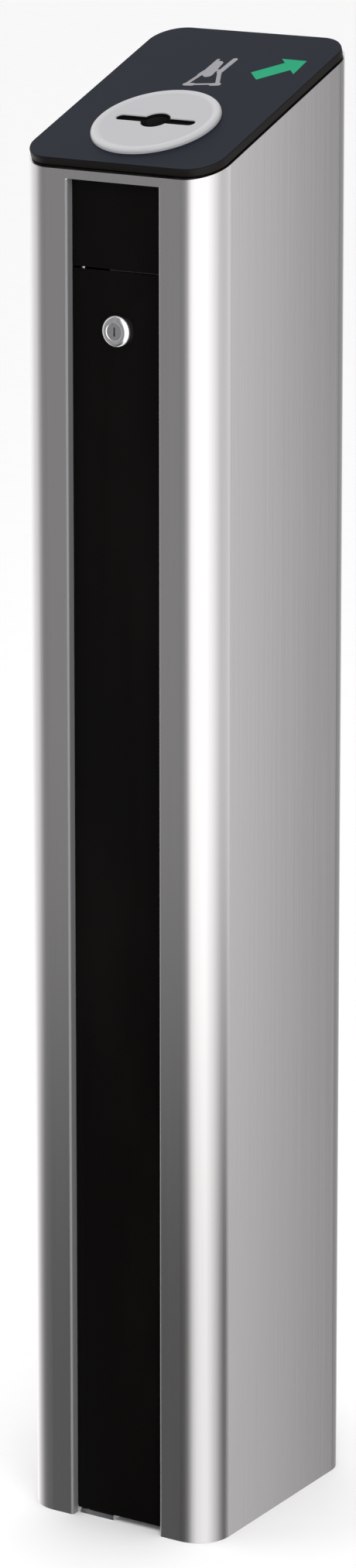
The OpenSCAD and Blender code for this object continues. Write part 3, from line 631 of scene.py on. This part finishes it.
def slab_on_slope(node):
    """Width, length, centre s, lower and upper n of a slab-shaped node on the slope.

    They follow from its box: run = L cos + t sin and rise = L sin + t cos."""
    low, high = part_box(node)
    run, rise = high.y - low.y, high.z - low.z
    wide = slope.cos**2 - slope.sin**2
    long = (run * slope.cos - rise * slope.sin) / wide
    thick = (rise * slope.cos - run * slope.sin) / wide
    mid = (low + high) / 2
    y, z = mid.y - slope.y0, mid.z - slope.z0
    s, n = y * slope.cos + z * slope.sin, z * slope.cos - y * slope.sin
    return high.x - low.x, long, s, n - thick / 2, n + thick / 2


class COLUMN_OT_top_plate(bpy.types.Operator):
    """Black top plate with softened edges and a round hole for the bezel's neck"""

    bl_idname = "column.top_plate"
    bl_label = "Top plate"

    def execute(self, context):
        top = context.scene.column_top
        width, long, s, low, high = slab_on_slope("top_plate")
        rings = slab_points(width, long, top.corner, low, high, top.edge, (0, s))
        board_low, board_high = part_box("light_ring_board")
        hole_r = (board_high.x - board_low.x) / 2 - 6 * MM
        around = rings[0, :, :2] - np.array([0, slope.bezel_s])
        heading = np.arctan2(around[:, 1], around[:, 0])
        hole = np.stack([np.cos(heading), np.sin(heading)], axis=-1) * hole_r
        hole = hole + np.array([0, slope.bezel_s])
        walls = [np.column_stack([hole, np.full(len(hole), n)]) for n in (high, low)]
        points = np.concatenate([rings, np.stack(walls)])
        rows, cols = points.shape[:2]
        piece = make_object(
            "top_plate_body",
            slope.place(points),
            grid_faces(rows, cols, wrap_rows=True),
            materials["black_edge"],
            "root",
        )
        sharpen(piece)
        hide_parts("top_plate")
        return {"FINISHED"}


def sharpen(piece, degrees=30):
    """Keeps edges sharper than an angle crisp under smooth shading."""
    piece.data.set_sharp_from_angle(angle=math.radians(degrees))


def slot_outline(length, width, eye, grow, steps=14):
    """Card slot with a round eye, anticlockwise, drawn outwards by an offset."""
    half, r, big = length / 2 - width / 2, width / 2 + grow, eye / 2 + grow
    meet = math.asin(r / big)
    side = np.linspace(big * math.cos(meet), half, steps, endpoint=False)
    end = np.linspace(-math.pi / 2, math.pi / 2, steps)
    bow = np.linspace(meet, math.pi - meet, 3 * steps, endpoint=False)
    flank = np.full(steps, r)
    right = np.column_stack([half + r * np.cos(end), r * np.sin(end)])
    above = big * np.column_stack([np.cos(bow), np.sin(bow)])
    over = np.column_stack([side[:0:-1], flank[1:]])
    under = np.column_stack([side, -flank])
    upper = np.vstack([under, right, over, above])
    return np.vstack([upper, -upper])


class COLUMN_OT_bezel(bpy.types.Operator):
    """Round bezel with a soft shoulder, and inside its slot a black liner of painted shade.

    Rings run from the outer wall over the rim to the slot: each is a circle or a slot outline
    at its own height, and the circle's points are spread so that the two pair up evenly."""

    bl_idname = "column.bezel"
    bl_label = "Slot bezel"

    def execute(self, context):
        top = context.scene.column_top
        low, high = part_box("slot_bezel")
        outer, shoulder = (high.x - low.x) / 2, top.shoulder
        size = (top.slot_length, top.slot_width, top.eye)
        base = slot_outline(*size, 0.0)
        heading = np.unwrap(np.arctan2(base[:, 1], base[:, 0]))
        order = np.arange(len(base))
        spread = (order - np.interp(0.0, heading, order)) / len(base) * TAU
        heading = 0.3 * heading + 0.7 * spread
        circle = np.column_stack([np.cos(heading), np.sin(heading)])
        bend = np.linspace(0, math.pi / 2, 9)
        face, wall = BEZEL_HEIGHT, BEZEL_WALL
        rings = [(circle * outer, 0.0)]
        for t in bend:
            shrink = shoulder * (1 - math.cos(t))
            rings.append((circle * (outer - shrink), wall + (face - wall) * math.sin(t)))
        # Half a cosine wave takes the rim down to the dished face.
        for t in bend[1:] * 2:
            inward = shoulder + 0.5 * MM + 2.2 * MM * t / math.pi
            rings.append((circle * (outer - inward), face - top.dish * (1 - math.cos(t)) / 2))
        floor = face - top.dish
        rings.append((circle * (outer - shoulder - 4 * MM), floor))
        rings.append((slot_outline(*size, SLOT_MARGIN), floor))
        for t in bend[::2]:
            out, drop = top.lip * (1 - math.sin(t)), top.lip * (1 - math.cos(t))
            rings.append((slot_outline(*size, out), floor - drop))
        rings.append((base, 0.0))
        points = np.stack([np.column_stack([p, np.full(len(p), n)]) for p, n in rings])
        points[..., 1] += slope.bezel_s
        rows, cols = points.shape[:2]
        piece = make_object(
            "slot_bezel_face",
            slope.place(points),
            grid_faces(rows, cols, wrap_rows=True),
            materials["bezel_satin"],
            "root",
        )
        sharpen(piece, 40)
        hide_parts("slot_bezel")
        self.shade_liner(size, floor - top.lip, 0.0)
        return {"FINISHED"}

    def shade_liner(self, size, high, low):
        """A thin black sleeve just inside the slot's walls, painted shade for the dark inside the slot."""
        outside = slot_outline(*size, -LINER_GAP)
        inside = slot_outline(*size, -LINER_GAP - LINER_WALL)
        rings = [(outside, low), (outside, high), (inside, high), (inside, low)]
        points = np.stack([np.column_stack([p, np.full(len(p), n)]) for p, n in rings])
        points[..., 1] += slope.bezel_s
        piece = make_object(
            "slot_shade_liner",
            slope.place(points),
            grid_faces(4, len(outside), wrap_rows=True),
            # black as painted shade inside the slot
            materials["black_edge"],
            "root",
        )
        sharpen(piece)


class COLUMN_OT_prints(bpy.types.Operator):
    """Printed arrow and printed hand-with-card symbol on the face foil"""

    bl_idname = "column.prints"
    bl_label = "Prints"

    def execute(self, context):
        top = context.scene.column_top
        self.arrow(top)
        self.symbol(top)
        return {"FINISHED"}

    def arrow(self, top):
        """A straight arrow: a shaft and a triangular head."""
        half, neck = top.arrow_length / 2, top.arrow_length * 0.14
        shaft, head = top.arrow_shaft / 2, top.arrow_head / 2
        shape = [(-half, -shaft), (neck, -shaft), (neck, -head), (half, 0)]
        shape += [(x, -y) for x, y in reversed(shape[:3])]
        outline = turned_outline(shape, (top.arrow_x, top.arrow_s), top.arrow_turn)
        print_piece("arrow_print", [outline], top.ink, materials["arrow_ink"])

    def symbol(self, top):
        """A card held by two fingers over an open tray, in bold strokes.

        Each stroke is (start, end, width) in millimetres, across the plate and up the slope."""
        strokes = [
            ((-11.5, 117), (-6.5, 117.5), 3.8),
            ((-6.5, 117.5), (9.5, 120.5), 2.1),
            ((7.5, 119.5), (12.0, 120.5), 3.8),
            ((-11.0, 118), (-8.2, 132), 2.8),
            ((-8.5, 131.5), (-7.6, 136.5), 4.0),
            ((-7.8, 137), (-7.4, 154), 2.4),
            ((-3.0, 132.5), (-4.6, 149), 7.0),
            ((11.0, 121), (3.4, 137), 3.0),
            ((3.4, 137), (4.4, 156), 4.0),
            ((-0.6, 139), (2.6, 139.5), 2.8),
        ]
        shapes = [
            stroke(np.array(a) * MM, np.array(b) * MM, width * MM) for a, b, width in strokes
        ]
        origin = np.array([top.symbol_x, top.symbol_s])
        print_piece(
            "hand_card_print",
            [s + origin for s in shapes],
            top.ink,
            materials["symbol_ink"],
        )


def softened(name, node, body, slot, width):
    """A copy of a frame node whose sharp edges are rounded by a width.

    Its doubles are merged and its flat faces joined first, so that only real edges are cut."""
    bm = bmesh.new()
    bm.from_mesh(frame["nodes"][node].data)
    bmesh.ops.remove_doubles(bm, verts=bm.verts, dist=MERGE_DISTANCE)
    bmesh.ops.dissolve_limit(bm, angle_limit=FLAT_ANGLE, verts=bm.verts, edges=bm.edges)
    shared = [e for e in bm.edges if len(e.link_faces) == 2]
    sharp = [e for e in shared if e.calc_face_angle() > SHARP_ANGLE]
    bmesh.ops.bevel(
        bm,
        geom=sharp,
        offset=width,
        offset_type="OFFSET",
        segments=3,
        profile=0.5,
        affect="EDGES",
        clamp_overlap=True,
    )
    bmesh.ops.triangulate(bm, faces=bm.faces)
    mesh = bpy.data.meshes.new(name)
    bm.to_mesh(mesh)
    bm.free()
    piece = dress(mesh, name, materials[slot], body)
    sharpen(piece, 40)
    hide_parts(node)
    return piece


class COLUMN_OT_front(bpy.types.Operator):
    """Gloss black door and fixed panel with softened edges"""

    bl_idname = "column.front"
    bl_label = "Door and panel"

    def execute(self, context):
        softened("door_skin", "door_plate", "door", "gloss_black", PANEL_EDGE)
        softened("panel_skin", "upper_panel", "root", "gloss_black", PANEL_EDGE)
        return {"FINISHED"}


class COLUMN_OT_lock(bpy.types.Operator):
    """Chrome cam lock housing with a domed rim round its plug.

    A profile of (radius, distance in front of the frame's middle) is turned about the lock."""

    bl_idname = "column.lock"
    bl_label = "Lock"

    def execute(self, context):
        low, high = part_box("lock_housing")
        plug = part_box("lock_barrel")
        mid = (low + high) / 2
        head, bore = (high.x - low.x) / 2, (plug[1].x - plug[0].x) / 2 + 0.1 * MM
        face, back, seat = -low.y, -high.y, -low.y - LOCK_RIM_HEIGHT
        profile = [(bore, back), (LOCK_NECK, back), (LOCK_NECK, seat), (head, seat)]
        for t in np.linspace(0, math.pi / 2, 10):
            out = head - LOCK_DOME * (1 - math.cos(t))
            profile.append((out, face - (LOCK_RIM_HEIGHT - LOCK_FLAT) * (1 - math.sin(t))))
        for t in np.linspace(0, math.pi / 2, 5):
            out = bore + LOCK_LIP * (1 - math.sin(t))
            profile.append((out, face - LOCK_LIP * (1 - math.cos(t))))

        turn = np.arange(LOCK_SEGMENTS) / LOCK_SEGMENTS * TAU
        profile = np.array(profile)
        rings = np.stack(
            [
                mid.x + profile[:, :1] * np.cos(turn),
                np.repeat(-profile[:, 1:], LOCK_SEGMENTS, axis=1),
                mid.z + profile[:, :1] * np.sin(turn),
            ],
            axis=-1,
        )
        rim = grid_faces(len(profile), LOCK_SEGMENTS, wrap_rows=True)
        piece = make_object("lock_rim", rings, rim, materials["chrome"], "door")
        sharpen(piece, 40)
        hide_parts("lock_housing")
        return {"FINISHED"}


# ---- studio --------------------------------------------------------------

TENT_STRENGTH = 2.5  # brightness that a full ramp colour stands for
BLEND_LOW, BLEND_HIGH = -0.15, 0.35  # heights between which the lower glow becomes the upper

# Brightness of the light tent by bearing in degrees, high up and low down
UPPER_GLOW = (
    (-180, 0.70),
    (-150, 1.05),
    (-110, 1.30),
    (-88, 1.10),
    (-73, 0.98),
    (-62, 0.60),
    (-53, 0.32),
    (-40, 0.29),
    (-30, 0.34),
    (-14, 0.25),
    (2, 0.50),
    (11, 1.60),
    (50, 1.80),
    (75, 1.35),
    (100, 0.80),
    (125, 0.85),
    (138, 1.15),
    (149, 0.18),
    (162, 0.40),
)
LOWER_GLOW = (
    (-180, 0.70),
    (-150, 1.05),
    (-110, 1.50),
    (-88, 0.95),
    (-72, 0.45),
    (-60, 0.22),
    (-34, 0.15),
    (-14, 0.09),
    (2, 0.20),
    (14, 0.80),
    (26, 1.20),
    (55, 1.40),
    (78, 0.95),
    (102, 0.40),
    (116, 0.14),
    (127, 0.16),
    (138, 1.15),
    (149, 0.18),
    (162, 0.40),
)


class COLUMN_OT_studio(bpy.types.Operator):
    """Pale floor, soft light tent, lamps and camera"""

    bl_idname = "column.studio"
    bl_label = "Studio"

    def execute(self, context):
        values = context.scene.column_studio
        self.camera(values)
        self.floor(values)
        self.tent()
        self.lamps()
        self.sky()
        return {"FINISHED"}

    def camera(self, values):
        """A camera on a sphere round the aiming point, looking at it."""
        data = bpy.data.cameras.new("camera")
        data.lens, data.sensor_width = values.lens, 36.0
        data.shift_x, data.shift_y = values.shift_x, values.shift_y
        data.clip_start, data.clip_end = 0.1, 60.0
        camera = bpy.data.objects.new("camera", data)
        bpy.context.scene.collection.objects.link(camera)
        a, e = values.azimuth, values.elevation
        back = Vector((math.sin(a) * math.cos(e), -math.cos(a) * math.cos(e), math.sin(e)))
        camera.location = Vector((0, 0, values.aim)) + back * values.distance
        camera.rotation_mode = "QUATERNION"
        camera.rotation_quaternion = (-back).to_track_quat("-Z", "Y")
        bpy.context.scene.camera = camera

    def floor(self, values):
        """A wide flat floor, a hair below the column's foot."""
        half, z = 30.0, -0.1 * MM
        corners = [(-half, -half, z), (half, -half, z), (half, half, z), (-half, half, z)]
        mesh = bpy.data.meshes.new("floor")
        mesh.from_pydata(corners, [], [(0, 1, 2, 3)])
        f = Finish("floor", Roughness=0.7)
        grain = f.noise(30.0, 3.0)
        pale = tuple(values.floor)
        f.feed("Base Color", f.mix(grain, shade(pale, 0.985), shade(pale, 1.015)))
        mesh.materials.append(f.material)
        piece = bpy.data.objects.new("floor", mesh)
        bpy.context.scene.collection.objects.link(piece)
        piece.visible_glossy = False

    def tent(self):
        """A round wall of light that only reflections see, brighter on some sides."""
        radius, low, high, count = 0.85, -1.2, 2.4, 96
        around = np.arange(count) / count * TAU
        ring = np.column_stack([radius * np.cos(around), radius * np.sin(around)])
        rings = [np.column_stack([ring, np.full(count, z)]) for z in (low, high)]
        mesh = bpy.data.meshes.new("light_tent")
        mesh.from_pydata(np.concatenate(rings).tolist(), [], grid_faces(2, count).tolist())
        mesh.materials.append(self.tent_glow())
        piece = bpy.data.objects.new("light_tent", mesh)
        bpy.context.scene.collection.objects.link(piece)
        piece.visible_camera = False
        piece.visible_diffuse = False
        piece.visible_shadow = False

    def tent_glow(self):
        """Glow against the bearing round the column, in degrees from the front to the right."""
        f = Finish("tent_glow")
        x, y, z = f.axes()
        bearing = x.math("ARCTAN2", x, 0 - y) * (1 / TAU) + 0.5
        bands = []
        for glow in (UPPER_GLOW, LOWER_GLOW):
            stops = [((b + 180) / 360, (g / TENT_STRENGTH,) * 3) for b, g in glow]
            bands.append(f.node("ShaderNodeValToRGB", {"stops": stops}, [bearing]))
        shine = f.mix(z.above(BLEND_LOW, BLEND_HIGH), bands[1], bands[0])
        glowing = f.nodes.new("ShaderNodeEmission")
        glowing.inputs["Strength"].default_value = TENT_STRENGTH
        f.links.new(shine.socket, glowing.inputs["Color"])
        f.links.new(glowing.outputs[0], f.nodes["Material Output"].inputs["Surface"])
        return f.material

    def lamps(self):
        """A key lamp in front and to the right, and a weaker one to the left."""
        for name, place, size, power in (
            ("key_lamp", (1.6, -1.8, 2.6), 1.6, 26.0),
            ("fill_lamp", (-2.2, -1.2, 2.0), 2.0, 14.0),
        ):
            data = bpy.data.lights.new(name, "AREA")
            data.energy, data.size = power, size
            lamp = bpy.data.objects.new(name, data)
            lamp.location = place
            aim = Vector((0, 0, 0.6)) - Vector(place)
            lamp.rotation_mode = "QUATERNION"
            lamp.rotation_quaternion = aim.to_track_quat("-Z", "Y")
            lamp.visible_glossy = False
            bpy.context.scene.collection.objects.link(lamp)

    def sky(self):
        """Even white surroundings."""
        world = bpy.data.worlds.new("studio_air")
        world.use_nodes = True
        air = world.node_tree.nodes["Background"]
        air.inputs["Color"].default_value = (1.0, 1.0, 1.0, 1.0)
        air.inputs["Strength"].default_value = 1.0
        bpy.context.scene.world = world
        bpy.context.scene.view_settings.view_transform = "Standard"


class COLUMN_PT_panel(bpy.types.Panel):
    """Lists the steps of the column in the sidebar"""

    bl_idname = "COLUMN_PT_panel"
    bl_label = "Card column"
    bl_space_type = "VIEW_3D"
    bl_region_type = "UI"
    bl_category = "Card column"

    def draw(self, context):
        for step in STEPS:
            self.layout.operator(step.bl_idname)
        for group in ("column_finishes", "column_top", "column_studio"):
            values = getattr(context.scene, group)
            for name in values.bl_rna.properties.keys():
                if name not in ("rna_type", "name"):
                    self.layout.prop(values, name)


STEPS = (
    COLUMN_OT_studio,
    COLUMN_OT_finishes,
    COLUMN_OT_top_plate,
    COLUMN_OT_bezel,
    COLUMN_OT_prints,
    COLUMN_OT_front,
    COLUMN_OT_lock,
)
GROUPS = {
    "column_finishes": ColumnFinishes,
    "column_top": ColumnTop,
    "column_studio": ColumnStudio,
}


def register():
    """Registers the classes and hangs the values on the scene."""
    for cls in (*GROUPS.values(), *STEPS, COLUMN_PT_panel):
        bpy.utils.register_class(cls)
    for name, cls in GROUPS.items():
        setattr(bpy.types.Scene, name, bpy.props.PointerProperty(type=cls))


def unregister():
    """Undoes what register did."""
    for name in GROUPS:
        delattr(bpy.types.Scene, name)
    for cls in (COLUMN_PT_panel, *reversed(STEPS), *reversed(GROUPS.values())):
        bpy.utils.unregister_class(cls)


def main():
    """Builds the scene, one operator after another."""
    register()
    for step in STEPS:
        group, name = step.bl_idname.split(".")
        getattr(getattr(bpy.ops, group), name)()


if __name__ == "__main__":
    main()
